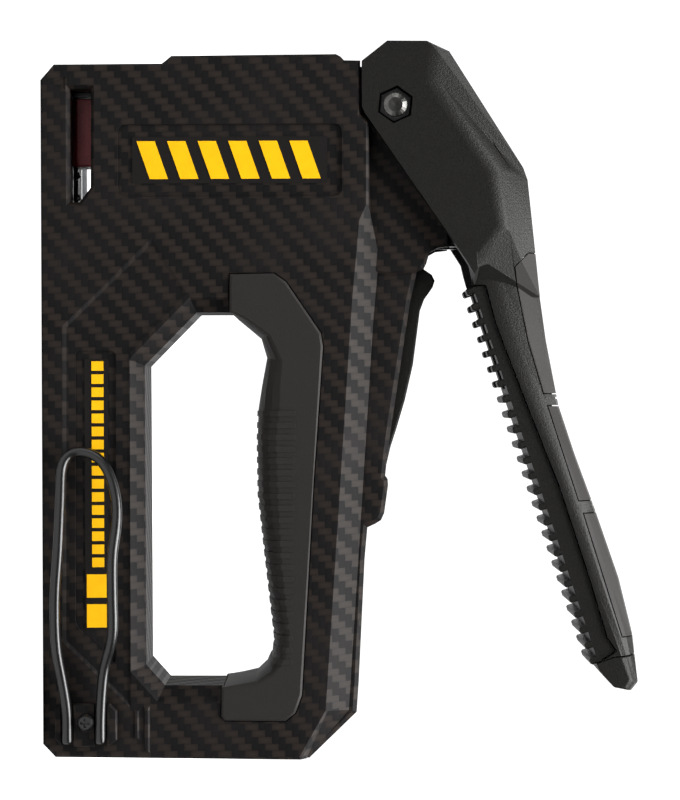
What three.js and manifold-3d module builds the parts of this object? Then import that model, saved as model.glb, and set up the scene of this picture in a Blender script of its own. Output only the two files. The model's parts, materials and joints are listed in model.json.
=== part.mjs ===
// Hand staple gun with a squeeze lever: body, magazine, striker drive and lever.
// Millimetres. +X runs from the nose to the rear, +Z up to the lever, Y across the tool.
// The origin is on the mid-plane at the foot of the nose plate, where staples leave.
import * as THREE from "three";
import { mergeVertices, toCreasedNormals } from "three/addons/utils/BufferGeometryUtils.js";
import Module from "manifold-3d";

const wasm = await Module();
wasm.setup();

// ---- driving dimensions -------------------------------------------------------------
const HALF = 15.5; // half the body's thickness
const PART = 0.15; // half the parting gap between the shells
const CLEAR = 0.3; // gap between neighbouring pieces
const RIDGE_HALF = 9; // half the thickness of the narrow ridge along the top
const NECK_HALF = 10.5; // half the thickness of the neck the lever straddles
const CHEEK_HALF = 15.9; // half the thickness across the lever's cheeks
const CHEEK_IN = 11.2; // inner face of a cheek
const GRIP_HALF = 12; // half the thickness of the lever's hand part
const STRIP_HALF = 11.3; // half the width of the toothed strip under it
const LEVER_PIVOT = [5.8, 97.6];
const ROCKER_PIVOT = [45.4, 81.8];
const ROLLER_AT = [40.5, 107.8];
const ROLLER_R = 3.5;
const LEVER_SWING = 13; // degrees from open to closed
const ROCKER_RATIO = 1.45; // rocker degrees for each degree of lever
const STEM_X = 8; // plunger centre line
const TOOTH_COUNT = 25;
const TOOTH_PITCH = 4.49;
const RIB_COUNT = 22;
const RIB_PITCH = 3.25;
const GRIP_RIB_START = 90.6;
const SCREWS = [[36.6, 29.8], [36.8, 61.8], [176.8, 43.2], [140.3, 76.8], [60.1, 22.3]];

const HOOK_SCREW = [174.8, 12.1];

// ---- outlines in the X-Z plane ------------------------------------------------------
const FACE = [
  [-1.4, 0], [181.2, 0], [184.8, 3.4], [185.8, 70.8], [172.4, 78.4], [148.4, 80.3], [125.4, 81.9],
  [100.4, 83.5], [60.4, 86.1], [37.8, 88.2], [33.4, 90.1], [10.4, 90.2], [8.4, 88], [-6.4, 88], [-6.5, 83.5],
  [-7.5, 82.6], [-8.2, 81.3], [-7.9, 36], [-5.8, 33.4], [-5.7, 3.7],
];
const STRIP = [
  [-1.4, 0], [181.2, 0], [185, 3.4], [186.2, 72.4], [172.8, 84.1], [148.4, 85.9], [125.4, 87.5],
  [105.4, 88.7], [64.4, 91.4], [47, 93], [38.4, 90.8], [10.4, 90.2], [8.4, 88], [-6.4, 88], [-6.5, 83.5],
  [-7.5, 82.6], [-8.2, 81.3], [-7.9, 36], [-5.8, 33.4], [-5.7, 3.7],
];
const RIDGE = [
  [30.3, 59.9], [170.3, 59.3], [185.9, 65.2], [186.4, 73.1], [173.7, 86.3], [165.4, 86.9], [147.4, 87.9],
  [131, 88.7], [122.4, 89.5], [121.4, 91.7], [120.4, 93.3], [118.4, 94.2], [110.7, 95.3], [109, 95.2],
  [108.2, 94.5], [103.4, 95], [96, 96], [77, 98.9], [59.4, 101.7], [52.1, 103.4], [46.5, 104.4],
  [40.5, 104.2], [30.4, 99.9],
];
const NECK = [
  [-5.5, 80], [-5.3, 104], [-2.5, 107.5], [12.5, 110.3], [34.5, 112.8], [44.5, 112.7], [44.9, 109.3],
  [46.2, 107], [49.2, 106.1], [50.8, 105], [51.6, 103], [52.4, 95.8], [50.3, 79.8],
].reverse();
const OPENING = [
  [77.2, 28.1], [159.9, 28.2], [165.6, 33.3], [165.7, 52.3], [62.6, 52.7], [62.6, 42.5],
];
// the opening as cut in the shells, wider where the rubber grip lines it
const CORE = [
  [77.2, 28.1], [159.9, 28.2], [165.6, 33.3], [165.7, 49.5], [169.4, 49.5], [169.4, 56.3], [166.8, 63.3],
  [158.3, 67.3], [150.3, 67.5], [130.3, 64.6], [98.3, 63], [89.3, 63.2], [82.3, 64], [75.3, 65.7], [66.3, 63.3],
  [59.2, 56.9], [59.2, 52.1], [62.6, 52.1], [62.6, 42.5],
];
const GRIP_FACE = [
  [52.3, 51.9], [62.6, 51.8], [64.7, 56.2], [69.3, 62.5], [76.3, 65.7], [83.3, 65], [90.3, 64.8], [98.3, 64],
  [113.3, 64.5], [132.3, 65.4], [152.3, 67.5], [158.3, 66.1], [161.9, 63.3], [164.5, 58.9], [165.7, 49.2],
  [173.7, 49.1], [174.8, 50],
  [175, 66.7], [172.8, 69.4], [167.9, 71.2], [108.9, 74.7], [72.2, 77.4], [68.5, 76.8], [54.4, 67.3],
  [52.1, 64],
];
const GRIP_MID = [
  [52.3, 51.9], [62.6, 51.8], [64.6, 53.9], [69.8, 60.1], [75.1, 61.6], [82.5, 60.2], [89.3, 59.1],
  [98.3, 58.8], [113.3, 59], [132.3, 61.1], [152.8, 63.4], [156.7, 63.1], [159.9, 61.6], [163.1, 58.4],
  [165.7, 49.2], [173.7, 49.1], [174.8, 50],
  [175, 66.7], [172.8, 69.4], [167.9, 71.2], [108.9, 74.7], [72.2, 77.4], [68.5, 76.8], [54.4, 67.3],
  [52.1, 64],
];
const WINDOW = [[1, 8], [32.2, 8], [32.2, 10.5], [28.2, 13.6], [1.1, 13.8]];
const LABEL = [[73, 9.3], [148.5, 9], [159.6, 20.1], [73.1, 20.5]];
// shallow sunk field round the label
const FIELD = [
  [66.5, 6.4], [152.8, 6], [170.3, 23.7], [73.3, 24.1], [57.2, 39.4], [43.1, 30.4],
];
const LINKAGE = [
  [-1.7, 69.5], [22.3, 69.4], [24.3, 65.9], [112.3, 68], [112.4, 89.5], [109.6, 94.9], [109.6, 97.5], [56.5, 111.8],
  [44.5, 115.8], [30.5, 107.4], [14.5, 104.9], [-1.5, 103.4],
];

const HEAD_FACE = [
  [-6.2, 88.4], [6.3, 88.4], [7.8, 89], [41.9, 112.4], [48.6, 116.8], [52.5, 119.2], [48.5, 120.9],
  [39.6, 127.3], [24.1, 124.6], [-0.6, 107.7], [-10.5, 107.9], [-11.6, 106.3], [-11.7, 95.4],
];
const HEAD_TOP = [
  [-6.2, 88.4], [6.3, 88.4], [7.8, 89], [41.9, 112.4], [48.6, 116.8], [58.5, 119.1], [58.6, 137.7],
  [43.6, 136.2], [26, 134.4], [22.6, 133.2], [-9.8, 112.8], [-12.1, 107.5], [-12.2, 95.4],
];
// the hand part in halves that pair up point by point: underside, ridge of the side, and back
const HAND_UNDER = [
  [48, 118.4], [56.9, 118.7], [100.6, 133.9], [157.2, 151.6], [161.9, 153.2], [166.7, 157.4],
];
const HAND_SIDE = [
  [167.1, 160.1], [164.5, 161.7], [153.7, 157.9], [136.9, 151.8], [117.6, 145.9], [101.8, 140.2],
  [88.6, 134.8], [70.6, 127.7], [55.5, 123.4], [46, 121.7],
];
const HAND_BACK = [
  [168.2, 162.7], [165.7, 164.8], [152.7, 163.4], [136.9, 159.6], [117.5, 153], [101.8, 147.3],
  [88.6, 143], [70.6, 139.6], [55.1, 137.5], [45.5, 136.4],
];
const PADS = {
  front: [[46.6, 141.8], [46.6, 134.4], [50.4, 130.6], [54.5, 131.1], [71, 134.3], [85.3, 138.5],
    [85.3, 147.6]],
  middle: [[89, 149.6], [88.9, 139.7], [115, 148], [115.1, 157.5]],
  rear: [[118.7, 159.5], [118.7, 149.4], [152.7, 159.9], [152.7, 167.3]],
};
const END_CAP = [[157.5, 169.3], [158.5, 157.3], [160.5, 151.9], [160.9, 149.3], [170.7, 149.3], [170.7, 169.3]];
const ROOT_LINE = [[55.5, 118.8], [160.1, 153.2]];
// lower edge of the lever body along the toothed strip
const SEAM = [
  [160.6, 152.7], [156.7, 158.3], [152.8, 155.7], [136.2, 150.8], [110.6, 142.5], [90, 134.4], [66.5, 125.5],
  [55.2, 122.5],
];
const ROCKER = [
  [3.7, 73.4], [13.3, 70.8], [34.3, 73.3], [45.3, 74.3], [53.3, 77.8], [60.4, 85.7], [84.4, 90], [106.4, 92.2],
  [108.6, 94.1], [100.2, 96.1], [95.3, 97.7], [87, 100.2], [77.1, 102.5], [67.3, 103.8], [62.1, 104.5],
  [58.9, 105.7], [57.1, 107], [55.5, 108.1], [53.7, 108.7], [52, 107.9], [50.4, 105.6], [48.7, 106.4],
  [45.5, 107], [43.9, 106.8], [39.4, 97.8], [37.4, 87.8], [32.3, 78.7], [14.3, 73.8], [10.9, 75.3], [8.3, 76],
  [5.7, 74.9],
];

// ---- solid helpers ------------------------------------------------------------------
function solid(geometry) {
  const g = geometry.clone();
  g.deleteAttribute("normal");
  g.deleteAttribute("uv");
  const m = mergeVertices(g, 1e-4);
  const index = [];
  for (let i = 0; i < m.index.count; i += 3) {
    const [a, b, c] = [0, 1, 2].map((k) => m.index.getX(i + k));
    if (a !== b && b !== c && a !== c) index.push(a, b, c);
  }
  return new wasm.Manifold(new wasm.Mesh({
    numProp: 3,
    vertProperties: Float32Array.from(m.attributes.position.array),
    triVerts: Uint32Array.from(index),
  }));
}

// +1 for an outline that runs anticlockwise, -1 for clockwise
function sense(pts) {
  return Math.sign(pts.reduce((sum, [x, z], i) => {
    const [u, w] = pts[(i + 1) % pts.length];
    return sum + x * w - u * z;
  }, 0));
}

// outline moved inward by d (outward when d is negative), corners kept sharp
function inset(pts, d) {
  const side = sense(pts);
  return pts.map(([x, z], i) => {
    const [px, pz] = pts[(i + pts.length - 1) % pts.length];
    const [nx, nz] = pts[(i + 1) % pts.length];
    const a = new THREE.Vector2(x - px, z - pz).normalize();
    const b = new THREE.Vector2(nx - x, nz - z).normalize();
    const cross = 1 + a.dot(b);
    const k = (side * d) / Math.max(cross, 0.35);
    return [x - (a.y + b.y) * k, z + (a.x + b.x) * k];
  });
}

// outline with every corner rounded off over a length r
function rounded(pts, r, steps = 3) {
  return pts.flatMap(([x, z], i) => {
    const from = new THREE.Vector2(...pts[(i + pts.length - 1) % pts.length]);
    const to = new THREE.Vector2(...pts[(i + 1) % pts.length]);
    const corner = new THREE.Vector2(x, z);
    const curve = new THREE.QuadraticBezierCurve(
      corner.clone().add(from.sub(corner).setLength(r)), corner, corner.clone().add(to.sub(corner).setLength(r)));
    return curve.getPoints(steps).map((p) => [p.x, p.y]);
  });
}

// closed body through matching X-Z outlines at rising or falling stations of y
function loft(stations) {
  const sections = stations.map(({ y, pts }) => ({ y, pts: sense(pts) < 0 ? [...pts].reverse() : pts }));
  const n = sections[0].pts.length;
  const pos = [];
  sections.forEach(({ y, pts }) => pts.forEach(([x, z]) => pos.push(x, y, z)));
  const flat = (k) => sections[k].pts.map(([x, z]) => new THREE.Vector2(x, z));
  const index = [];
  THREE.ShapeUtils.triangulateShape(flat(0), []).forEach(([a, b, c]) => index.push(a, b, c));
  const last = sections.length - 1;
  THREE.ShapeUtils.triangulateShape(flat(last), [])
    .forEach(([a, b, c]) => index.push(a + last * n, c + last * n, b + last * n));
  for (let s = 0; s < last; s++) {
    for (let i = 0; i < n; i++) {
      const j = (i + 1) % n;
      const [a, b, c, d] = [s * n + i, s * n + j, (s + 1) * n + j, (s + 1) * n + i];
      index.push(a, d, b, b, d, c);
    }
  }
  if (signedVolume(pos, index) < 0) index.reverse();
  const g = new THREE.BufferGeometry();
  g.setAttribute("position", new THREE.Float32BufferAttribute(pos, 3));
  g.setIndex(index);
  return solid(g);
}

function signedVolume(pos, index) {
  const p = (i) => new THREE.Vector3(pos[3 * i], pos[3 * i + 1], pos[3 * i + 2]);
  let v = 0;
  for (let i = 0; i < index.length; i += 3) {
    v += p(index[i]).dot(p(index[i + 1]).cross(p(index[i + 2])));
  }
  return v;
}

const prism = (pts, y0, y1) => loft([{ y: y0, pts }, { y: y1, pts }]);
const box = (x0, x1, y0, y1, z0, z1) => prism([[x0, z0], [x1, z0], [x1, z1], [x0, z1]], y0, y1);

// slab with its edges chamfered on both faces
function slab(pts, y0, y1, c) {
  return loft([
    { y: y0, pts: inset(pts, c) }, { y: y0 + c, pts }, { y: y1 - c, pts }, { y: y1, pts: inset(pts, c) },
  ]);
}

// turned part: profile of [radius, distance along the axis], closed on the axis or as a ring
function turned(profile, axis, at, segments = 20) {
  const g = new THREE.LatheGeometry(profile.map(([r, h]) => new THREE.Vector2(r, h)), segments);
  if (axis === "z") g.rotateX(Math.PI / 2);
  if (axis === "x") g.rotateZ(-Math.PI / 2);
  g.translate(...at);
  const q = g.clone();
  q.deleteAttribute("normal");
  q.deleteAttribute("uv");
  const m = mergeVertices(q, 1e-4);
  const index = Array.from(m.index.array);
  if (signedVolume(m.attributes.position.array, index) < 0) index.reverse();
  m.setIndex(index);
  return solid(m);
}
const rod = (r, h0, h1, axis, at, segments = 20) =>
  turned([[0, h0], [r, h0], [r, h1], [0, h1]], axis, at, segments);
const sleeve = (r0, r1, h0, h1, axis, at, segments = 24) =>
  turned([[r0, h0], [r1, h0], [r1, h1], [r0, h1], [r0, h0]], axis, at, segments);

// round bar along a curve given by points
function wire(points, r, sides, steps) {
  const curve = new THREE.CatmullRomCurve3(points.map((p) => new THREE.Vector3(...p)), false, "centripetal");
  const shape = new THREE.Shape();
  for (let i = 0; i < sides; i++) {
    const a = (2 * Math.PI * i) / sides;
    const [x, y] = [r * Math.cos(a), r * Math.sin(a)];
    if (i) shape.lineTo(x, y);
    else shape.moveTo(x, y);
  }
  shape.closePath();
  return solid(new THREE.ExtrudeGeometry(shape, { steps, extrudePath: curve, bevelEnabled: false }));
}

// helical spring between two stations of an axis
function coil(radius, r, h0, h1, turns, axis, at, perTurn = 12) {
  const pts = [];
  const n = turns * perTurn;
  for (let i = 0; i <= n; i++) {
    const a = (2 * Math.PI * i) / perTurn;
    const h = h0 + ((h1 - h0) * i) / n;
    const [u, v] = [radius * Math.cos(a), radius * Math.sin(a)];
    if (axis === "z") pts.push([at[0] + u, at[1] + v, at[2] + h]);
    if (axis === "x") pts.push([at[0] + h, at[1] + u, at[2] + v]);
    if (axis === "y") pts.push([at[0] + u, at[1] + h, at[2] + v]);
  }
  return wire(pts, r, 6, n);
}

const join = (...solids) => solids.reduce((a, b) => a.add(b));
const cut = (base, ...tools) => tools.reduce((a, b) => a.subtract(b), base);
const hexagon = ([x, z], acrossFlats, turn) => Array.from({ length: 6 }, (_, i) => {
  const a = (i * Math.PI) / 3 + turn;
  const r = acrossFlats / Math.sqrt(3);
  return [x + r * Math.cos(a), z + r * Math.sin(a)];
});
// point turned about a centre in the X-Z plane, positive from +Z towards +X
function swing([x, z], [cx, cz], degrees) {
  const a = (degrees * Math.PI) / 180;
  const [u, w] = [x - cx, z - cz];
  return [cx + u * Math.cos(a) + w * Math.sin(a), cz - u * Math.sin(a) + w * Math.cos(a)];
}

// ---- materials ----------------------------------------------------------------------
const mat = (color, roughness, metalness = 0) => ({ color, roughness, metalness });
const CARBON = mat(0x2a2625, 0.55);
const LEVER = mat(0x35322f, 0.6);
const RUBBER = mat(0x3a3634, 0.85);
const STEEL = mat(0x8c8e90, 0.35, 0.9);
const DARK_STEEL = mat(0x1b1b1c, 0.35, 0.6);
const RED = mat(0x7a1a22, 0.5);
const YELLOW = mat(0xffc400, 0.5);

const product = new THREE.Group();
product.name = "staple_gun";
function piece(name, body, material) {
  const mesh = body.getMesh();
  const g = new THREE.BufferGeometry();
  g.setAttribute("position", new THREE.Float32BufferAttribute(mesh.vertProperties, 3));
  g.setIndex(new THREE.Uint32BufferAttribute(mesh.triVerts, 1));
  const out = new THREE.Mesh(toCreasedNormals(g, 0.6), new THREE.MeshStandardMaterial(material));
  out.name = name;
  product.add(out);
}

// ---- body shells --------------------------------------------------------------------
// one moulded half; s is -1 for the left half and +1 for the right
function shell(s) {
  const block = loft([
    { y: s * HALF, pts: inset(FACE, 0.7) }, { y: s * (HALF - 0.7), pts: FACE },
    { y: s * 10, pts: STRIP }, { y: s * PART, pts: STRIP },
  ]);
  const ridge = loft([
    { y: s * RIDGE_HALF, pts: inset(RIDGE, 1.2) }, { y: s * (RIDGE_HALF - 1.4), pts: RIDGE },
    { y: s * PART, pts: RIDGE },
  ]);
  const neck = loft([
    { y: s * NECK_HALF, pts: inset(NECK, 0.8) }, { y: s * (NECK_HALF - 0.8), pts: NECK },
    { y: s * PART, pts: NECK },
  ]);
  const openingEdge = loft([
    { y: s * (HALF + 0.6), pts: inset(OPENING, -4.6) }, { y: s * 11.4, pts: inset(OPENING, 0) },
  ]);
  return cut(
    join(block, ridge, neck, ...shellRibs(s)),
    prism(CORE, s * -1, s * 20), openingEdge,
    prism(inset([GRIP_FACE[0], ...GRIP_FACE.slice(14)], -CLEAR), s * 12.3, s * 20),
    ...shellCavities(s), ...shellRecesses(s), ...shellBores(s), ...hardwareSeats(s),
  );
}

function shellCavities(s) {
  const pocket = (pts, y, bosses) => bosses.reduce(
    (a, [x, z]) => a.subtract(rod(3.6, s * -1, s * 14, "y", [x, 0, z])), prism(pts, s * -1, s * y));
  return [
    box(-1.5, 200, s * -1, s * 7.3, -1, 16.3), // magazine tunnel, open below and behind
    box(-1.5, 22, s * -1, s * 9, 15, 69.6), // plunger and spring chamber
    prism(LINKAGE, s * -1, s * 4.3),
    prism([[-1, 70], [17, 70], [17, 92.6], [-1, 92.6]], s * -1, s * 7.4), // room for the plunger nut
    prism([[30.5, 90.6], [50, 90.6], [53, 98], [53, 120], [30.5, 120]], s * -1, s * 7.2),
    pocket([[27, 19], [54, 19], [54, 28], [46, 42], [46, 60], [38, 70], [27, 70]], 12.4,
      [SCREWS[0], SCREWS[1]]),
    pocket([[172, 20], [181.5, 20], [181.5, 66], [177.4, 68], [177.4, 48], [172, 44]], 12.4, [SCREWS[2]]),
    pocket([[118, 71.4], [164, 69.6], [164, 77], [118, 80]], 11.4, [SCREWS[3]]),
  ];
}

function shellRecesses(s) {
  const out = s * (HALF + 1);
  const panel = [[10.9, 21.2], [30.9, 21.2], [30.9, 82.9], [10.9, 82.9]];
  return [
    prism(rounded(panel, 2.5), s * (HALF - 0.7), out), // badge panel
    loft([{ y: s * (HALF + 0.1), pts: inset(FIELD, -0.8) }, { y: s * (HALF - 0.45), pts: inset(FIELD, 0.5) }]),
    prism(rounded(LABEL, 1.8), s * (HALF - 1), out), // label strip along the base
    loft([{ y: s * (HALF + 0.5), pts: inset(WINDOW, -1.3) }, { y: s * (HALF - 1.5), pts: WINDOW },
      { y: s * 6, pts: WINDOW }]), // staple sight window
    prism([[-2.1, 6.9], [1.2, 6.9], [-0.5, 2.7]], s * (HALF - 0.3), out), // arrow at the exit
  ];
}

// two short raised ribs above the hook plate
function shellRibs(s) {
  return [[170.8, 183.6, 27.6, 29.4], [171.8, 180, 24.9, 26.5]].map(([x0, x1, z0, z1]) => {
    const pts = [[x0, z0], [x1, z0], [x1, z1], [x0, z1]];
    return loft([{ y: s * (HALF - 1), pts }, { y: s * HALF, pts }, { y: s * (HALF + 0.4), pts: inset(pts, 0.5) }]);
  });
}

function shellBores(s) {
  const bores = SCREWS.flatMap(([x, z]) => (s > 0
    ? [rod(1.75, -1, 20, "y", [x, 0, z]), rod(3.2, 11.9, 20, "y", [x, 0, z])]
    : [rod(1.75, -7, 1, "y", [x, 0, z])]));
  const [px, pz] = LEVER_PIVOT;
  const [rx, rz] = ROCKER_PIVOT;
  return [...bores,
    rod(3.9, Math.min(s * -1, s * 12), Math.max(s * -1, s * 12), "y", [px, 0, pz]),
    rod(2.3, Math.min(s * -1, s * 9.3), Math.max(s * -1, s * 9.3), "y", [rx, 0, rz])];
}

// slot for the spring seat and, on the left, the blind hole for the hook screw
function hardwareSeats(s) {
  const seats = [box(-2.4, 22, s * -1, s * 10.4, 66.7, 71.3)];
  if (s < 0) seats.push(rod(1.8, -17, -8.5, "y", [HOOK_SCREW[0], 0, HOOK_SCREW[1]]));
  return seats;
}

piece("left_shell", shell(-1), CARBON);
piece("right_shell", shell(1), CARBON);

// ---- rubber grip --------------------------------------------------------------------
// the grip's outer form, grown outward by a little where the ribs need it
function gripForm(grow) {
  const at = (t) => inset(GRIP_FACE.map(([x, z], i) => [
    x + (GRIP_MID[i][0] - x) * t, z + (GRIP_MID[i][1] - z) * t]), -grow);
  const half = [[16.3 + grow, null], [16 + grow, 0], [15 + grow, 0.3], [12.4 + grow, 0.66], [8.5, 0.9], [4, 0.98]];
  const section = (y, t) => ({ y, pts: t === null ? inset(at(0), 0.6) : at(t) });
  return loft([...half.map(([y, t]) => section(-y, t)), ...half.reverse().map(([y, t]) => section(y, t))]);
}

function grip() {
  const ribs = Array.from({ length: RIB_COUNT }, (_, i) => {
    const x = GRIP_RIB_START + i * RIB_PITCH;
    const top = 69.9 - 0.018 * (x - 90);
    return prism([[x - 0.8, 50], [x + 0.8, 50], [x + 0.8, top - 0.5], [x + 0.35, top], [x - 0.35, top],
      [x - 0.8, top - 0.5]], -20, 20);
  });
  const proud = join(...ribs).intersect(gripForm(0.3));
  const core = prism(inset(CORE, CLEAR).slice(3, 18), -20, 20);
  const upper = prism([[50, 49], [180, 49], [180, 80], [50, 80]], -12.6, 12.6);
  return cut(join(gripForm(0), proud), upper.subtract(core));
}
piece("hand_grip", grip(), RUBBER);

// ---- fixed steel parts in the body --------------------------------------------------
piece("nose_plate", join(box(-1.2, 0.6, -7, 7, 0, 64), box(-1.2, 0.6, -8.6, 8.6, 44, 60)), STEEL);
piece("magazine_channel", cut(
  box(2.4, 176, -7, 7, 0.5, 16), box(0, 180, -6.2, 6.2, -1, 15.2),
  prism(WINDOW, -9, 9), box(150, 180, -9, 9, 14, 18).subtract(box(150, 180, -5, 5, 14, 18)),
), STEEL);
piece("spring_seat", cut(box(-2.1, 21.7, -10, 10, 67.2, 70), rod(2.5, 66, 72, "z", [STEM_X, 0, 0])), STEEL);
piece("main_spring", coil(5, 1.1, 35.4, 65.8, 6, "z", [STEM_X, 0, 0]), DARK_STEEL);
piece("bumper", slab([[3.2, 17], [16, 17], [16, 29.6], [3.2, 29.6]], -6.5, 6.5, 0.8), RUBBER);
piece("rocker_pin", rod(2.2, -9, 9, "y", [ROCKER_PIVOT[0], 0, ROCKER_PIVOT[1]]), STEEL);
piece("pivot_sleeve", sleeve(2.75, 3.8, -10.9, 10.9, "y", [LEVER_PIVOT[0], 0, LEVER_PIVOT[1]]), STEEL);

// screws that clamp the right shell to the left one, with a cross recess in each head
function screw([x, z], side, y0, y1, headR, shankR, length) {
  const head = turned([[0, y0 * side], [headR, y0 * side], [headR, y0 * side + side * 0.8],
    [headR * 0.75, y1 * side], [0, y1 * side]], "y", [x, 0, z], 20);
  const shank = rod(shankR, Math.min(side * (y0 + 0.1), side * (y0 - length)),
    Math.max(side * (y0 + 0.1), side * (y0 - length)), "y", [x, 0, z], 12);
  const [lo, hi] = [Math.min(side * (y1 - 1), side * (y1 + 1)), Math.max(side * (y1 - 1), side * (y1 + 1))];
  const w = headR * 0.16;
  const l = headR * 0.55;
  return cut(join(head, shank), box(x - w, x + w, lo, hi, z - l, z + l), box(x - l, x + l, lo, hi, z - w, z + w));
}
SCREWS.forEach((at, i) => piece(`shell_screw_${i + 1}`, screw(at, 1, 12.2, 14.2, 2.9, 1.5, 17), DARK_STEEL));

// ---- badge and label inlays ---------------------------------------------------------
// thin plates in the sunk panels, with the printed shapes standing slightly proud
const BADGE = [14.4, 27.2, 25.2, 78.8];
const PRINT = [75.4, 149.8, 11.8, 18.2];
const bar = (x0, x1, z0, z1, rise = 0) => [[x0, z0], [x1, z0 + rise], [x1, z1 + rise], [x0, z1]];
const badgeBars = Array.from({ length: 6 }, (_, i) => bar(15.6, 26, 26.4 + 8.4 * i, 31.4 + 8.4 * i, 3.6));
const printBars = [
  ...Array.from({ length: 16 }, (_, i) => bar(76 + 3.6 * i, 78.6 + 3.6 * i, 13.7, 17)),
  bar(134.6, 141, 12.2, 17.6), bar(142.8, 149.2, 12.2, 17.6),
];
function inlay([x0, x1, z0, z1], bars, s, floor) {
  const plate = prism(bar(x0, x1, z0, z1), s * (floor + 0.1), s * (floor + 0.3));
  return join(plate, ...bars.map((pts) => prism(pts, s * (floor + 0.2), s * (floor + 0.45))));
}
for (const [name, s] of [["left", -1], ["right", 1]]) {
  piece(`badge_${name}`, inlay(BADGE, badgeBars, s, HALF - 0.7), YELLOW);
  piece(`label_${name}`, inlay(PRINT, printBars, s, HALF - 1), YELLOW);
}

// ---- belt hook ----------------------------------------------------------------------
const HOOK_PATH = [
  [180.6, -18.6, 7], [172, -18.6, 7], [163, -18.9, 5.7], [154, -21.6, 4.5], [139, -24.4, 4.6],
  [127, -25.2, 5.6], [112.5, -21.8, 5.9], [105, -19.7, 6], [101.5, -18.8, 7.4], [100.6, -18.6, 10.5],
  [101.2, -18.8, 14], [104, -19.6, 17.5], [112.5, -21.8, 20.9], [121, -24, 21.3], [128, -25.2, 20.3],
  [139, -24.4, 20.1], [151, -22.4, 19.9], [160, -19.2, 17.3], [172, -18.6, 16.2], [180.6, -18.6, 16.1],
];
const HOOK_PLATE = [
  [169.8, 5.6], [171.2, 3.6], [179.4, 3.6], [181.6, 5.6], [181.6, 18], [179.8, 20.6], [171.8, 20.6], [169.8, 18.6],
];
piece("belt_hook", wire(HOOK_PATH, 1.45, 8, 50), DARK_STEEL);
piece("hook_plate", cut(
  slab(HOOK_PLATE, -18.2, -15.8, 0.4),
  ...[HOOK_PATH.slice(0, 2), HOOK_PATH.slice(-2)].map(([a, b]) => {
    const z = (a[2] + b[2]) / 2;
    return box(160, 190, -20, -16.9, z - 1.8, z + 1.8);
  }),
  rod(1.75, -21, -15, "y", [HOOK_SCREW[0], 0, HOOK_SCREW[1]]),
), DARK_STEEL);
piece("hook_screw", screw(HOOK_SCREW, -1, 18.4, 20, 2.35, 1.5, 9), DARK_STEEL);

// ---- lever --------------------------------------------------------------------------
function leverEnvelope() {
  const head = loft([
    { y: -CHEEK_HALF, pts: HEAD_FACE }, { y: -8.6, pts: HEAD_TOP }, { y: 8.6, pts: HEAD_TOP },
    { y: CHEEK_HALF, pts: HEAD_FACE },
  ]);
  const across = (t) => HAND_SIDE.map(([x, z], i) => [
    x + (HAND_BACK[i][0] - x) * t, z + (HAND_BACK[i][1] - z) * t]);
  const rounds = [[GRIP_HALF, 0], [GRIP_HALF - 0.5, 0.28], [GRIP_HALF - 1.7, 0.58], [8, 0.9], [5, 1]];
  const hand = loft([
    ...rounds.map(([y, t]) => ({ y: -y, pts: [...HAND_UNDER, ...across(t)] })),
    ...rounds.reverse().map(([y, t]) => ({ y, pts: [...HAND_UNDER, ...across(t)] })),
  ]);
  const well = prism([
    [-16, 84], [-16, 96.4], [-9.2, 97.4], [-9.2, 106], [-7.6, 109.8], [23, 129.4], [42, 130],
    [50, 129], [56, 126], [56, 112], [30, 84],
  ], -CHEEK_IN, CHEEK_IN);
  return { outer: join(head, hand), well };
}

// point on the lever's inner face: distance along it from the front, and out towards the hand
const STRIP_LENGTH = Math.hypot(ROOT_LINE[1][0] - ROOT_LINE[0][0], ROOT_LINE[1][1] - ROOT_LINE[0][1]);
function at(along, out) {
  const [[x0, z0], [x1, z1]] = ROOT_LINE;
  const run = new THREE.Vector2(x1 - x0, z1 - z0).normalize();
  return [x0 + run.x * along + run.y * out, z0 + run.y * along - run.x * out];
}

// strip that carries the teeth, set under the hand part
function toothStrip() {
  const length = STRIP_LENGTH;
  const seat = [at(0, CLEAR), at(length, CLEAR), ...SEAM.slice(1)];
  let body = prism(inset(seat, CLEAR), -STRIP_HALF, STRIP_HALF);
  for (let i = 0; i < TOOTH_COUNT; i++) {
    const a = 0.3 + i * TOOTH_PITCH;
    body = body.add(slab([at(a, -1.2), at(a, 1.7), at(a + 0.4, 2.1), at(a + 1.5, 2.1), at(a + 1.9, 1.7),
      at(a + 1.9, -1.2)], -STRIP_HALF, STRIP_HALF, 0.4));
  }
  return cut(body, prism([at(-3, -9), at(30, -9), at(30, 8), at(-3, 8)], -5.2, 5.2));
}

// lugs between neighbouring pads that hold their ends, with the height of the back above each
const PAD_GAPS = [[86.6, 142.6], [116.4, 153]];
const lugs = (g) => PAD_GAPS.map(([x, z]) => box(x - 2.6 - g, x + 2.6 + g, -2 - g, 2 + g, z - 9, z - 1.1 + g));

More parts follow.
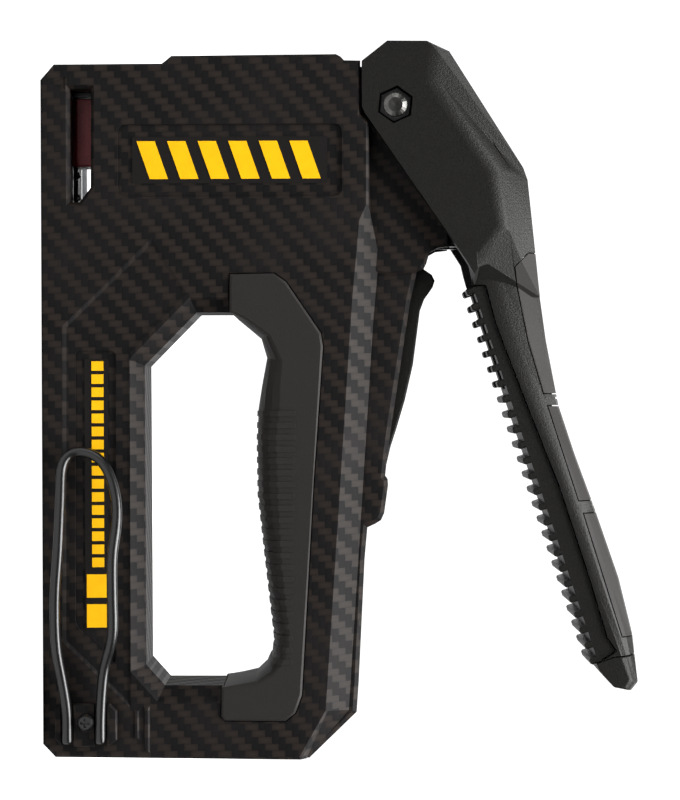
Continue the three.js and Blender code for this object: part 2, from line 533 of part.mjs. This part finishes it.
function lever() {
  const { outer, well } = leverEnvelope();
  const [px, pz] = LEVER_PIVOT;
  const hex = hexagon(LEVER_PIVOT, 9.1, -0.1);
  const stripSeat = prism([at(-CLEAR, 9), at(STRIP_LENGTH + CLEAR, 9), ...SEAM,
    at(-CLEAR, 0)], -20, 20);
  const pads = Object.values(PADS).map((p) => cut(prism(inset(p, -CLEAR), -20, 20), ...lugs(0)));
  const grooves = PAD_GAPS.map(([x, z]) => box(x - 0.3, x + 0.3, -20, 20, z - 0.6, z + 14));
  const core = cut(outer, well, stripSeat, ...grooves, ...pads, prism(inset(END_CAP, -CLEAR), -20, 20),
    rod(2.8, -20, 20, "y", [px, 0, pz]), prism(hex, -20, -12.8), prism(hex, 12.8, 20));
  piece("lever_body", core, LEVER);
  for (const [name, p] of Object.entries(PADS)) {
    piece(`lever_pad_${name}`, cut(outer.intersect(prism(p, -20, 20)), ...lugs(CLEAR)), RUBBER);
  }
  piece("lever_end_cap", outer.intersect(prism(END_CAP, -20, 20)), LEVER);
}
lever();
piece("tooth_strip", toothStrip(), RUBBER);

// pivot bolt, nut and the fork that carries the drive roller
function pivotHardware() {
  const [px, pz] = LEVER_PIVOT;
  const hex = hexagon(LEVER_PIVOT, 8.5, -0.1);
  const dome = turned([[0, -15.9], [2, -15.8], [3.2, -15.2], [3.6, -14.4], [3.6, -14], [0, -14]], "y",
    [px, 0, pz], 20);
  piece("pivot_nut", cut(join(slab(hex, -14.8, -13, 0.3), dome), rod(2.5, -13.5, -12, "y", [px, 0, pz])), DARK_STEEL);
  piece("pivot_bolt", join(slab(hex, 13, 15.4, 0.4), rod(2.45, -12.9, 13.6, "y", [px, 0, pz])), DARK_STEEL);
  const [x, z] = ROLLER_AT;
  const plate = [[x - 4, z - 4], [x + 3.6, z - 4], [x + 3.9, z + 6], [x + 3.9, 129], [x - 5, 128.4], [x - 6, z + 8]];
  piece("lever_fork", cut(prism(plate, -6.4, 6.4), prism([[x - 12, z - 10], [x + 12, z - 10], [x + 12, 126],
    [x - 12, 125.4]], -4.8, 4.8), rod(1.7, -8, 8, "y", [x, 0, z])), STEEL);
  piece("roller_pin", rod(1.55, -6.7, 6.7, "y", [x, 0, z], 16), STEEL);
  piece("drive_roller", sleeve(1.9, ROLLER_R, -4.2, 4.2, "y", [x, 0, z], 24), STEEL);
}
pivotHardware();
// torsion spring that opens the lever
piece("lever_spring", coil(4.7, 0.5, -3.2, 3.2, 4, "y", [LEVER_PIVOT[0], 0, LEVER_PIVOT[1]]), DARK_STEEL);

// ---- rocker -------------------------------------------------------------------------
// the cam face is the path of the drive roller seen from the rocker
function rocker() {
  let body = slab(ROCKER, -3.6, 3.6, 0.5);
  for (let i = 0; i <= 13; i++) {
    const theta = (LEVER_SWING * i) / 13;
    const inBody = swing(ROLLER_AT, LEVER_PIVOT, theta);
    const [x, z] = swing(inBody, ROCKER_PIVOT, -theta * ROCKER_RATIO);
    body = body.subtract(rod(ROLLER_R + 0.25, -5, 5, "y", [x, 0, z], 32));
  }
  return cut(body, rod(2.5, -5, 5, "y", [ROCKER_PIVOT[0], 0, ROCKER_PIVOT[1]]),
    box(-2, 13.4, -2.4, 2.4, 60, 90));
}
piece("rocker", rocker(), DARK_STEEL);

// ---- plunger and striker ------------------------------------------------------------
piece("plunger", cut(
  join(slab([[2.3, 30], [14.4, 30], [14.4, 34], [2.3, 34]], -6, 6, 0.4), rod(2.1, 33, 79.9, "z", [STEM_X, 0, 0])),
  box(-5, 3.2, -4, 4, 29, 33),
), STEEL);
piece("plunger_nut", cut(
  turned([[0, 76.6], [5, 76.6], [5.6, 77.1], [5.6, 79.1], [5, 79.6], [0, 79.6]], "z", [STEM_X, 0, 0], 24),
  rod(2.35, 70, 90, "z", [STEM_X, 0, 0]),
), DARK_STEEL);
piece("striker_blade", join(box(0.95, 2, -5.2, 5.2, 1, 36), box(1.9, 2.9, -3.6, 3.6, 29.5, 32.6)), STEEL);

// ---- magazine -----------------------------------------------------------------------
piece("magazine_rail", cut(box(2.7, 175.6, -5.6, 5.6, 0.5, 5.4), box(0, 180, -4.8, 4.8, 1.4, 8)), STEEL);
piece("magazine_latch", cut(
  join(slab([[176.3, 0.5], [181, 0.5], [183.9, 3.6], [184.2, 15.6], [176.3, 15.8]], -6.9, 6.9, 0.6),
    box(172.6, 177, -4.4, 4.4, 2, 15)),
  box(170, 176, -1.5, 1.5, 9.5, 11.3), rod(1.15, 170, 178.2, "x", [0, 0, 7.5]),
), CARBON);
piece("guide_rod", rod(1, 2.8, 178, "x", [0, 0, 7.5], 14), STEEL);
piece("guide_bar", box(2.9, 175.7, -1.2, 1.2, 9.8, 11), STEEL);
piece("pusher", cut(
  join(slab([[2.4, 8.4], [21.4, 8.4], [21.4, 12.6], [20, 14.2], [2.4, 14.2]], -4.4, 4.4, 0.4),
    box(2.6, 21, -2.6, 2.6, 5.8, 9)),
  box(0, 30, -1.6, 1.6, 9.5, 11.3), rod(1.25, 0, 30, "x", [0, 0, 7.5]),
), RED);
piece("pusher_spring", coil(1.65, 0.32, 22, 172, 24, "x", [0, 0, 7.5], 7), DARK_STEEL);

export default product;
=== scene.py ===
"""Hand staple gun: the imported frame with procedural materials, rounded edges and finer surface detail."""
import json
import math

import bmesh
import bpy
from mathutils import Matrix, Vector

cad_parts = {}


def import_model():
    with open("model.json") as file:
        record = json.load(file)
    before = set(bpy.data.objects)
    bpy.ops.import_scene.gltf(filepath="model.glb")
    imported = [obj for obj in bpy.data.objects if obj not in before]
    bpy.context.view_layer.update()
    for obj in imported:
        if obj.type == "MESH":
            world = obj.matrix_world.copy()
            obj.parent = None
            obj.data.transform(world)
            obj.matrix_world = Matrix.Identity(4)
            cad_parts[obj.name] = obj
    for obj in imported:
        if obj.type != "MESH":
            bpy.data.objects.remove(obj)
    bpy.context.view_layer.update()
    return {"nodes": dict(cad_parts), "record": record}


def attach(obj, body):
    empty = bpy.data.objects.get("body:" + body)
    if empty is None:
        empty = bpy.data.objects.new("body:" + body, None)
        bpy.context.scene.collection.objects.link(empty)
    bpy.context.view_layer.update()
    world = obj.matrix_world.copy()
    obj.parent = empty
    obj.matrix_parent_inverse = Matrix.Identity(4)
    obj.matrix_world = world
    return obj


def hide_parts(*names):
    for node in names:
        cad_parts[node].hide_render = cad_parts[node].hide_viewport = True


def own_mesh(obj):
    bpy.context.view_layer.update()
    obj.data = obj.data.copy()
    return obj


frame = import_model()
NODES = frame["nodes"]
MM = 0.001
TOW = 1.85 * MM  # width of one tow of the twill
TWILL_SIDE_ON = 0.85  # how squarely a face must look along an axis for the weave to be laid across it
NUT_AT = (5.83 * MM, 97.57 * MM)  # X and Z of the pivot nut's centre
NUT_DOME_RADIUS = 3.55 * MM
BADGE_LEVEL = 15.12 * MM  # distance from the mid-plane beyond which a badge is inked
LABEL_LEVEL = 14.82 * MM
INK = (1.0, 0.52, 0.003)
MERGE_DISTANCE = 2e-6
FLAT_ANGLE = math.radians(0.6)  # faces closer to coplanar than this are rejoined
SHARP_ANGLE = math.radians(22.0)  # edges sharper than this are rounded
ROUND_SEGMENTS = 2
SOFT_SEGMENTS = 5
SOFT_CREASE_DEGREES = (15, 70)
WIRE_FILL = 0.12 * MM  # what rounding takes off the wire's section
FLOOR_DROP = 0.4 * MM  # keeps the floor clear of the base
FLOOR_HALF = 3.0
FLOOR_GLOW = 1.1  # seen by the camera only, so the floor looks white but throws back little light
WORLD_LIGHT, WORLD_SEEN = 0.06, 1.2
LENS_MM, SENSOR_MM = 102.3, 36.0
CAMERA_AT = (86.96 * MM, -640 * MM, 82.02 * MM)
CAMERA_TILT = math.radians(0.25)
LAMP_AIM = (0.09, 0, 0.08)


# ---- node helpers -------------------------------------------------------------------
def material(name):
    mat = bpy.data.materials.new(name)
    mat.use_nodes = True
    nt = mat.node_tree
    nt.nodes.clear()
    out = nt.nodes.new("ShaderNodeOutputMaterial")
    bsdf = nt.nodes.new("ShaderNodeBsdfPrincipled")
    nt.links.new(bsdf.outputs[0], out.inputs[0])
    return mat, nt, bsdf


def feed(nt, socket, value):
    if isinstance(value, (int, float)):
        socket.default_value = value
    elif isinstance(value, (tuple, list)):
        socket.default_value = value if len(value) == len(socket.default_value) else (*value, 1.0)
    else:
        nt.links.new(value, socket)


def maths(nt, op, *values):
    node = nt.nodes.new("ShaderNodeMath")
    node.operation = op
    for socket, value in zip(node.inputs, values):
        feed(nt, socket, value)
    return node.outputs[0]


def blend(nt, factor, a, b):
    """a where factor is 0 and b where it is 1, for colours."""
    node = nt.nodes.new("ShaderNodeMix")
    node.data_type = "RGBA"
    feed(nt, node.inputs[0], factor)
    feed(nt, node.inputs[6], a)
    feed(nt, node.inputs[7], b)
    return node.outputs[2]


def lerp(nt, factor, a, b):
    node = nt.nodes.new("ShaderNodeMix")
    node.data_type = "FLOAT"
    feed(nt, node.inputs[0], factor)
    feed(nt, node.inputs[2], a)
    feed(nt, node.inputs[3], b)
    return node.outputs[0]


def coords(nt):
    node = nt.nodes.new("ShaderNodeTexCoord")
    return node.outputs["Object"], node.outputs["Normal"]


def split(nt, vector):
    node = nt.nodes.new("ShaderNodeSeparateXYZ")
    nt.links.new(vector, node.inputs[0])
    return node.outputs


def noise(nt, vector, scale, detail=3.0, rough=0.5):
    node = nt.nodes.new("ShaderNodeTexNoise")
    feed(nt, node.inputs["Vector"], vector)
    node.inputs["Scale"].default_value = scale
    node.inputs["Detail"].default_value = detail
    node.inputs["Roughness"].default_value = rough
    return node.outputs[0]


def voronoi(nt, vector, scale):
    node = nt.nodes.new("ShaderNodeTexVoronoi")
    feed(nt, node.inputs["Vector"], vector)
    node.inputs["Scale"].default_value = scale
    return node.outputs["Distance"]


def stretched(nt, vector, x, y, z):
    node = nt.nodes.new("ShaderNodeMapping")
    feed(nt, node.inputs["Vector"], vector)
    node.inputs["Scale"].default_value = (x, y, z)
    return node.outputs[0]


def ramp(nt, value, low, high):
    """0 below low, 1 above high."""
    node = nt.nodes.new("ShaderNodeMapRange")
    feed(nt, node.inputs[0], value)
    node.inputs[1].default_value = low
    node.inputs[2].default_value = high
    return node.outputs[0]


def bump(nt, height, distance, strength=1.0, normal=None):
    node = nt.nodes.new("ShaderNodeBump")
    node.inputs["Strength"].default_value = strength
    node.inputs["Distance"].default_value = distance
    feed(nt, node.inputs["Height"], height)
    if normal is not None:
        nt.links.new(normal, node.inputs["Normal"])
    return node.outputs[0]


# ---- materials ----------------------------------------------------------------------
def carbon_twill():
    """Moulded 2/2 twill: tows over two and under two, stepping one tow each row, with painted sheen and
    shade in its colour.
    """
    mat, nt, bsdf = material("carbon_twill")
    place, normal = coords(nt)
    x, y, z = split(nt, place)
    nx, _, nz = split(nt, normal)
    facing_z = maths(nt, "GREATER_THAN", maths(nt, "ABSOLUTE", nz), TWILL_SIDE_ON)
    facing_x = maths(nt, "GREATER_THAN", maths(nt, "ABSOLUTE", nx), TWILL_SIDE_ON)
    u = maths(nt, "DIVIDE", lerp(nt, facing_x, x, y), TOW)
    v = maths(nt, "DIVIDE", lerp(nt, facing_z, z, y), TOW)
    i, j = maths(nt, "FLOOR", u), maths(nt, "FLOOR", v)
    step = maths(nt, "FLOORED_MODULO", maths(nt, "SUBTRACT", i, j), 4.0)
    weft = maths(nt, "GREATER_THAN", step, 1.5)
    along_warp = maths(nt, "FLOORED_MODULO", maths(nt, "ADD", maths(nt, "SUBTRACT", i, v), 1.0), 4.0)
    along_weft = maths(nt, "FLOORED_MODULO", maths(nt, "SUBTRACT", maths(nt, "SUBTRACT", u, j), 2.0), 4.0)
    along = lerp(nt, weft, along_warp, along_weft)
    across = lerp(nt, weft, maths(nt, "FRACT", u), maths(nt, "FRACT", v))
    arch = maths(nt, "SINE", maths(nt, "MULTIPLY", along, math.pi / 2))
    crown = maths(nt, "SINE", maths(nt, "MULTIPLY", across, math.pi))
    height = maths(nt, "MULTIPLY", maths(nt, "POWER", maths(nt, "MAXIMUM", arch, 0.0), 0.5),
                   maths(nt, "POWER", maths(nt, "MAXIMUM", crown, 0.0), 0.6))
    fibre = lerp(nt, weft, noise(nt, stretched(nt, place, 5200, 400, 500), 1.0, 2.0),
                 noise(nt, stretched(nt, place, 500, 400, 5200), 1.0, 2.0))
    grain = noise(nt, place, 5500.0, 2.0, 0.6)
    cloud = noise(nt, place, 55.0, 3.0)
    # painted highlight and shade: the tow crowns are coloured lighter and the dips where tows pass under
    # darker, mixed with real fibre streaks
    crown_sheen_and_fibre = maths(nt, "ADD", maths(nt, "MULTIPLY", height, 0.35), maths(nt, "MULTIPLY", fibre, 0.45))
    # painted sheen and shade: the warp tows are coloured as lit and the weft tows as shaded copies of the
    # same black fibre
    sheen_lit_warp = blend(nt, ramp(nt, crown_sheen_and_fibre, 0.25, 0.75), (0.0100, 0.0070, 0.0056), (0.0245, 0.0175, 0.0140))
    dark = blend(nt, ramp(nt, crown_sheen_and_fibre, 0.25, 0.75), (0.0012, 0.0009, 0.0011), (0.0030, 0.0023, 0.0026))
    colour = blend(nt, weft, sheen_lit_warp, dark)
    faded = blend(nt, 0.55, colour, (0.0105, 0.0086, 0.0080))
    colour = blend(nt, ramp(nt, cloud, 0.40, 0.72), colour, faded)
    feed(nt, bsdf.inputs["Base Color"], colour)
    rough = maths(nt, "ADD", lerp(nt, weft, 0.50, 0.60), maths(nt, "MULTIPLY", grain, 0.12))
    feed(nt, bsdf.inputs["Roughness"], rough)
    bsdf.inputs["Specular IOR Level"].default_value = 0.17
    relief = maths(nt, "ADD", height, maths(nt, "MULTIPLY", grain, 0.35))
    feed(nt, bsdf.inputs["Normal"], bump(nt, relief, 0.00006, 0.6))
    return mat


def moulded(name, low, high, rough, grain_scale, depth, specular=0.4):
    """Moulded plastic or rubber with a spark-eroded grain and a little handling wear."""
    mat, nt, bsdf = material(name)
    place, _ = coords(nt)
    grain = noise(nt, place, grain_scale, 3.0, 0.65)
    cells = voronoi(nt, place, grain_scale * 0.6)
    cloud = noise(nt, place, 38.0, 4.0)
    colour = blend(nt, ramp(nt, grain, 0.32, 0.68), low, high)
    colour = blend(nt, maths(nt, "MULTIPLY", ramp(nt, cloud, 0.45, 0.75), 0.35), colour, high)
    feed(nt, bsdf.inputs["Base Color"], colour)
    feed(nt, bsdf.inputs["Roughness"], lerp(nt, ramp(nt, cloud, 0.3, 0.8), rough, rough * 0.86))
    bsdf.inputs["Specular IOR Level"].default_value = specular
    relief = maths(nt, "ADD", grain, maths(nt, "MULTIPLY", cells, 0.5))
    feed(nt, bsdf.inputs["Normal"], bump(nt, relief, depth, 0.7))
    return mat


def brushed(name, tint, rough, axis_scale, wear=0.25):
    """Steel with fine drawing lines, faint stains and brighter rubbed patches."""
    mat, nt, bsdf = material(name)
    place, _ = coords(nt)
    lines = noise(nt, stretched(nt, place, *axis_scale), 1.0, 4.0, 0.6)
    stain = noise(nt, place, 120.0, 4.0)
    dark = tuple(c * 0.6 for c in tint)
    colour = blend(nt, ramp(nt, lines, 0.3, 0.7), dark, tint)
    colour = blend(nt, maths(nt, "MULTIPLY", ramp(nt, stain, 0.5, 0.8), wear), colour, dark)
    feed(nt, bsdf.inputs["Base Color"], colour)
    bsdf.inputs["Metallic"].default_value = 1.0
    feed(nt, bsdf.inputs["Roughness"], lerp(nt, ramp(nt, stain, 0.3, 0.8), rough, rough * 1.3))
    feed(nt, bsdf.inputs["Normal"], bump(nt, lines, 0.00001, 0.5))
    return mat


def black_finish(name, base, rough, coat=0.0):
    """Blackened or lacquered steel: dark, fairly glossy, with fine orange peel."""
    mat, nt, bsdf = material(name)
    place, _ = coords(nt)
    peel = noise(nt, place, 1500.0, 3.0, 0.55)
    cloud = noise(nt, place, 90.0, 3.0)
    colour = blend(nt, ramp(nt, cloud, 0.4, 0.75), base, tuple(c * 2.0 for c in base))
    feed(nt, bsdf.inputs["Base Color"], colour)
    feed(nt, bsdf.inputs["Roughness"], lerp(nt, peel, rough * 0.8, rough * 1.25))
    bsdf.inputs["Specular IOR Level"].default_value = 0.6
    bsdf.inputs["Coat Weight"].default_value = coat
    bsdf.inputs["Coat Roughness"].default_value = 0.12
    feed(nt, bsdf.inputs["Normal"], bump(nt, peel, 0.00003, 0.5))
    return mat


def printed(name, tint, level):
    """Ink on the proud shapes of an inlay, which stand further out than level, over a black plate."""
    mat, nt, bsdf = material(name)
    place, _ = coords(nt)
    _, y, _ = split(nt, place)
    grain = noise(nt, place, 3500.0, 3.0, 0.6)
    thin = noise(nt, place, 260.0, 4.0)
    ink = blend(nt, ramp(nt, thin, 0.35, 0.8), tint, tuple(c * 0.88 for c in tint))
    plate = blend(nt, grain, (0.0050, 0.0043, 0.0040), (0.0100, 0.0086, 0.0080))
    proud = maths(nt, "GREATER_THAN", maths(nt, "ABSOLUTE", y), level)
    feed(nt, bsdf.inputs["Base Color"], blend(nt, proud, plate, ink))
    feed(nt, bsdf.inputs["Roughness"], lerp(nt, proud, 0.60, 0.50))
    bsdf.inputs["Specular IOR Level"].default_value = 0.15
    feed(nt, bsdf.inputs["Normal"], bump(nt, grain, 0.00002, 0.6))
    return mat


def pivot_finish():
    """Blackened nut with a rubbed metal dome at its centre."""
    mat, nt, bsdf = material("pivot_steel")
    place, _ = coords(nt)
    x, _, z = split(nt, place)
    across = maths(nt, "POWER", maths(nt, "SUBTRACT", x, NUT_AT[0]), 2.0)
    upward = maths(nt, "POWER", maths(nt, "SUBTRACT", z, NUT_AT[1]), 2.0)
    away = maths(nt, "SQRT", maths(nt, "ADD", across, upward))
    dome = maths(nt, "LESS_THAN", away, NUT_DOME_RADIUS)
    rub = noise(nt, place, 900.0, 4.0)
    rubbed = blend(nt, ramp(nt, rub, 0.35, 0.7), (0.10, 0.10, 0.095), (0.16, 0.155, 0.15))
    feed(nt, bsdf.inputs["Base Color"], blend(nt, dome, (0.0025, 0.0025, 0.0028), rubbed))
    feed(nt, bsdf.inputs["Metallic"], dome)
    feed(nt, bsdf.inputs["Roughness"], lerp(nt, dome, 0.40, 0.30))
    feed(nt, bsdf.inputs["Normal"], bump(nt, rub, 0.00002, 0.5))
    return mat


MATS = {
    "carbon": carbon_twill(),
    "lever": moulded("lever_plastic", (0.0032, 0.0031, 0.0026), (0.0100, 0.0096, 0.0082), 0.48, 2600.0,
                     0.00010, 0.24),
    "rubber": moulded("soft_rubber", (0.0120, 0.0104, 0.0095), (0.0200, 0.0175, 0.0160), 0.62, 3800.0,
                      0.00004, 0.25),
    "steel": brushed("bright_steel", (0.52, 0.53, 0.55), 0.30, (260, 4200, 4200)),
    "black": black_finish("black_steel", (0.0025, 0.0025, 0.0028), 0.30, 0.1),
    "red": moulded("red_plastic", (0.17, 0.014, 0.018), (0.28, 0.026, 0.034), 0.42, 2400.0, 0.00004),
    "badge": printed("badge_print", INK, BADGE_LEVEL),
    "label": printed("label_print", INK, LABEL_LEVEL),
    "pivot": pivot_finish(),
}

BY_SLOT = {
    "carbon_composite": "carbon", "lever_plastic": "lever", "soft_rubber": "rubber", "bright_steel": "steel",
    "black_steel": "black", "red_plastic": "red",
}
BY_NODE = {
    "badge_left": "badge", "badge_right": "badge", "label_left": "label", "label_right": "label",
    "pivot_nut": "pivot", "magazine_channel": "black", "magazine_rail": "black", "nose_plate": "black",
    "striker_blade": "black", "guide_rod": "black", "hook_plate": "carbon", "lever_spring": "black",
    "rocker": "lever", "lever_fork": "black", "tooth_strip": "lever",
}


# ---- finer copies of the CAD nodes --------------------------------------------------
def mark_soft(mesh, soft):
    """Weight the shallow creases that lie beyond a distance from the mid-plane."""
    bm = bmesh.new()
    bm.from_mesh(mesh)
    weight = bm.edges.layers.float.new("bevel_weight_edge")
    low, high = SOFT_CREASE_DEGREES
    for e in bm.edges:
        far = all(abs(v.co.y) > soft["beyond"] for v in e.verts)
        if far and len(e.link_faces) == 2 and low < math.degrees(e.calc_face_angle()) < high:
            e[weight] = 1.0
    bm.to_mesh(mesh)
    bm.free()


def refined(node, width, mat, soft=None):
    """A copy of a CAD node with flat faces rejoined and its edges rounded."""
    source = NODES[node]
    bm = bmesh.new()
    bm.from_mesh(source.data)
    bmesh.ops.remove_doubles(bm, verts=bm.verts, dist=MERGE_DISTANCE)
    bmesh.ops.dissolve_limit(bm, angle_limit=FLAT_ANGLE, verts=bm.verts, edges=bm.edges)
    mesh = bpy.data.meshes.new(node + "_fine")
    bm.to_mesh(mesh)
    bm.free()
    piece = bpy.data.objects.new(node + "_fine", mesh)
    bpy.context.scene.collection.objects.link(piece)
    mesh.materials.append(MATS[mat])
    if soft:
        mark_soft(mesh, soft)
        crease = piece.modifiers.new("soft creases", "BEVEL")
        crease.width = soft["width"]
        crease.segments = SOFT_SEGMENTS
        crease.limit_method = "WEIGHT"
        crease.use_clamp_overlap = False
        crease.harden_normals = True
    edge = piece.modifiers.new("edges", "BEVEL")
    edge.width = width
    edge.segments = ROUND_SEGMENTS
    edge.limit_method = "ANGLE"
    edge.angle_limit = SHARP_ANGLE
    edge.use_clamp_overlap = True
    edge.harden_normals = True
    for poly in mesh.polygons:
        poly.use_smooth = True
    with_angle = piece.modifiers.new("normals", "WEIGHTED_NORMAL")
    with_angle.keep_sharp = True
    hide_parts(node)
    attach(piece, BODY_OF[node])


def rounded_wire(node, mat):
    """A copy of a faceted wire with its section and ends rounded."""
    bm = bmesh.new()
    bm.from_mesh(NODES[node].data)
    bmesh.ops.remove_doubles(bm, verts=bm.verts, dist=MERGE_DISTANCE)
    bmesh.ops.join_triangles(bm, faces=bm.faces, angle_face_threshold=3.2, angle_shape_threshold=3.2)
    mesh = bpy.data.meshes.new(node + "_fine")
    bm.to_mesh(mesh)
    bm.free()
    piece = bpy.data.objects.new(node + "_fine", mesh)
    bpy.context.scene.collection.objects.link(piece)
    mesh.materials.append(MATS[mat])
    for poly in mesh.polygons:
        poly.use_smooth = True
    smooth = piece.modifiers.new("round", "SUBSURF")
    smooth.levels = smooth.render_levels = 2
    full = piece.modifiers.new("full section", "DISPLACE")
    full.strength, full.mid_level = WIRE_FILL, 0.0
    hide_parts(node)
    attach(piece, BODY_OF[node])


def coil_spring(node, mat):
    """A copy of a coil spring with its material, put on its body in place of the CAD node."""
    mesh = NODES[node].data.copy()
    mesh.materials.clear()
    mesh.materials.append(MATS[mat])
    piece = bpy.data.objects.new(node + "_fine", mesh)
    bpy.context.scene.collection.objects.link(piece)
    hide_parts(node)
    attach(piece, BODY_OF[node])
    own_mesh(piece)


BODY_OF = {n: b for b, ns in frame["record"]["behaviour"]["bodies"].items() for n in ns}
SLOT_OF = {s["node"]: s["material_slot"] for s in frame["record"]["subparts"]}

REFINED = {
    "left_shell": 0.45, "right_shell": 0.45, "hand_grip": 0.5, "lever_body": 0.6, "lever_pad_front": 0.4,
    "lever_pad_middle": 0.4, "lever_pad_rear": 0.4, "lever_end_cap": 1.5, "tooth_strip": 0.25, "rocker": 0.4,
    "magazine_latch": 0.4, "pusher": 0.3, "hook_plate": 0.25,
}
SPRINGS = {"main_spring": ("plunger_slide", 2, 0.60), "pusher_spring": ("pusher_slide", 0, 0.395)}
SOFT = {"lever_body": {"beyond": 15.8 * MM, "width": 2.4 * MM}}
for name, obj in NODES.items():
    key = BY_NODE.get(name) or BY_SLOT[SLOT_OF[name]]
    if name in REFINED:
        refined(name, REFINED[name] * MM, key, SOFT.get(name))
    elif name == "belt_hook":
        rounded_wire(name, key)
    elif name in SPRINGS:
        coil_spring(name, key)
    else:
        obj.data.materials.clear()
        obj.data.materials.append(MATS[key])


# ---- floor, light and camera --------------------------------------------------------
def floor():
    bm = bmesh.new()
    just_below = Matrix.Translation((0, 0, -FLOOR_DROP))
    bmesh.ops.create_grid(bm, x_segments=8, y_segments=8, size=FLOOR_HALF, matrix=just_below)
    mesh = bpy.data.meshes.new("floor")
    bm.to_mesh(mesh)
    bm.free()
    obj = bpy.data.objects.new("floor", mesh)
    bpy.context.scene.collection.objects.link(obj)
    mat, nt, bsdf = material("floor_paper")
    place, _ = coords(nt)
    tooth = noise(nt, place, 900.0, 3.0)
    feed(nt, bsdf.inputs["Base Color"], blend(nt, tooth, (0.36, 0.36, 0.36), (0.40, 0.40, 0.40)))
    bsdf.inputs["Roughness"].default_value = 0.9
    path = nt.nodes.new("ShaderNodeLightPath")
    bsdf.inputs["Emission Color"].default_value = (1, 1, 1, 1)
    glow = maths(nt, "MULTIPLY", path.outputs["Is Camera Ray"], FLOOR_GLOW)
    feed(nt, bsdf.inputs["Emission Strength"], glow)
    mesh.materials.append(mat)


def world():
    w = bpy.data.worlds.new("studio")
    bpy.context.scene.world = w
    w.use_nodes = True
    nt = w.node_tree
    nt.nodes.clear()
    out = nt.nodes.new("ShaderNodeOutputWorld")
    back = nt.nodes.new("ShaderNodeBackground")
    path = nt.nodes.new("ShaderNodeLightPath")
    back.inputs[0].default_value = (1, 1, 1, 1)
    feed(nt, back.inputs[1], lerp(nt, path.outputs["Is Camera Ray"], WORLD_LIGHT, WORLD_SEEN))
    nt.links.new(back.outputs[0], out.inputs[0])


def lamp(name, at, power, size_x, size_y):
    data = bpy.data.lights.new(name, "AREA")
    data.shape = "RECTANGLE"
    data.size, data.size_y = size_x, size_y
    data.energy = power
    obj = bpy.data.objects.new(name, data)
    bpy.context.scene.collection.objects.link(obj)
    obj.location = at
    obj.rotation_euler = (Vector(LAMP_AIM) - Vector(at)).to_track_quat("-Z", "Y").to_euler()
    obj.visible_camera = False


def camera():
    data = bpy.data.cameras.new("camera")
    data.sensor_width = SENSOR_MM
    data.lens = LENS_MM
    data.clip_start, data.clip_end = 0.05, 20.0
    obj = bpy.data.objects.new("camera", data)
    bpy.context.scene.collection.objects.link(obj)
    right = Vector((math.sin(CAMERA_TILT), 0, math.cos(CAMERA_TILT)))
    up = Vector((-math.cos(CAMERA_TILT), 0, math.sin(CAMERA_TILT)))
    back = right.cross(up)
    turn = Matrix((right, up, back)).transposed().to_4x4()
    obj.matrix_world = Matrix.Translation(CAMERA_AT) @ turn
    bpy.context.scene.camera = obj


floor()
world()
camera()
lamp("key", (0.18, -0.27, 0.93), 28.0, 1.1, 0.6)
lamp("side", (-0.80, -0.45, 0.10), 2.0, 0.5, 0.6)
lamp("back", (0.10, 0.95, 0.50), 8.0, 1.8, 0.9)
bpy.context.scene.view_settings.view_transform = "Standard"
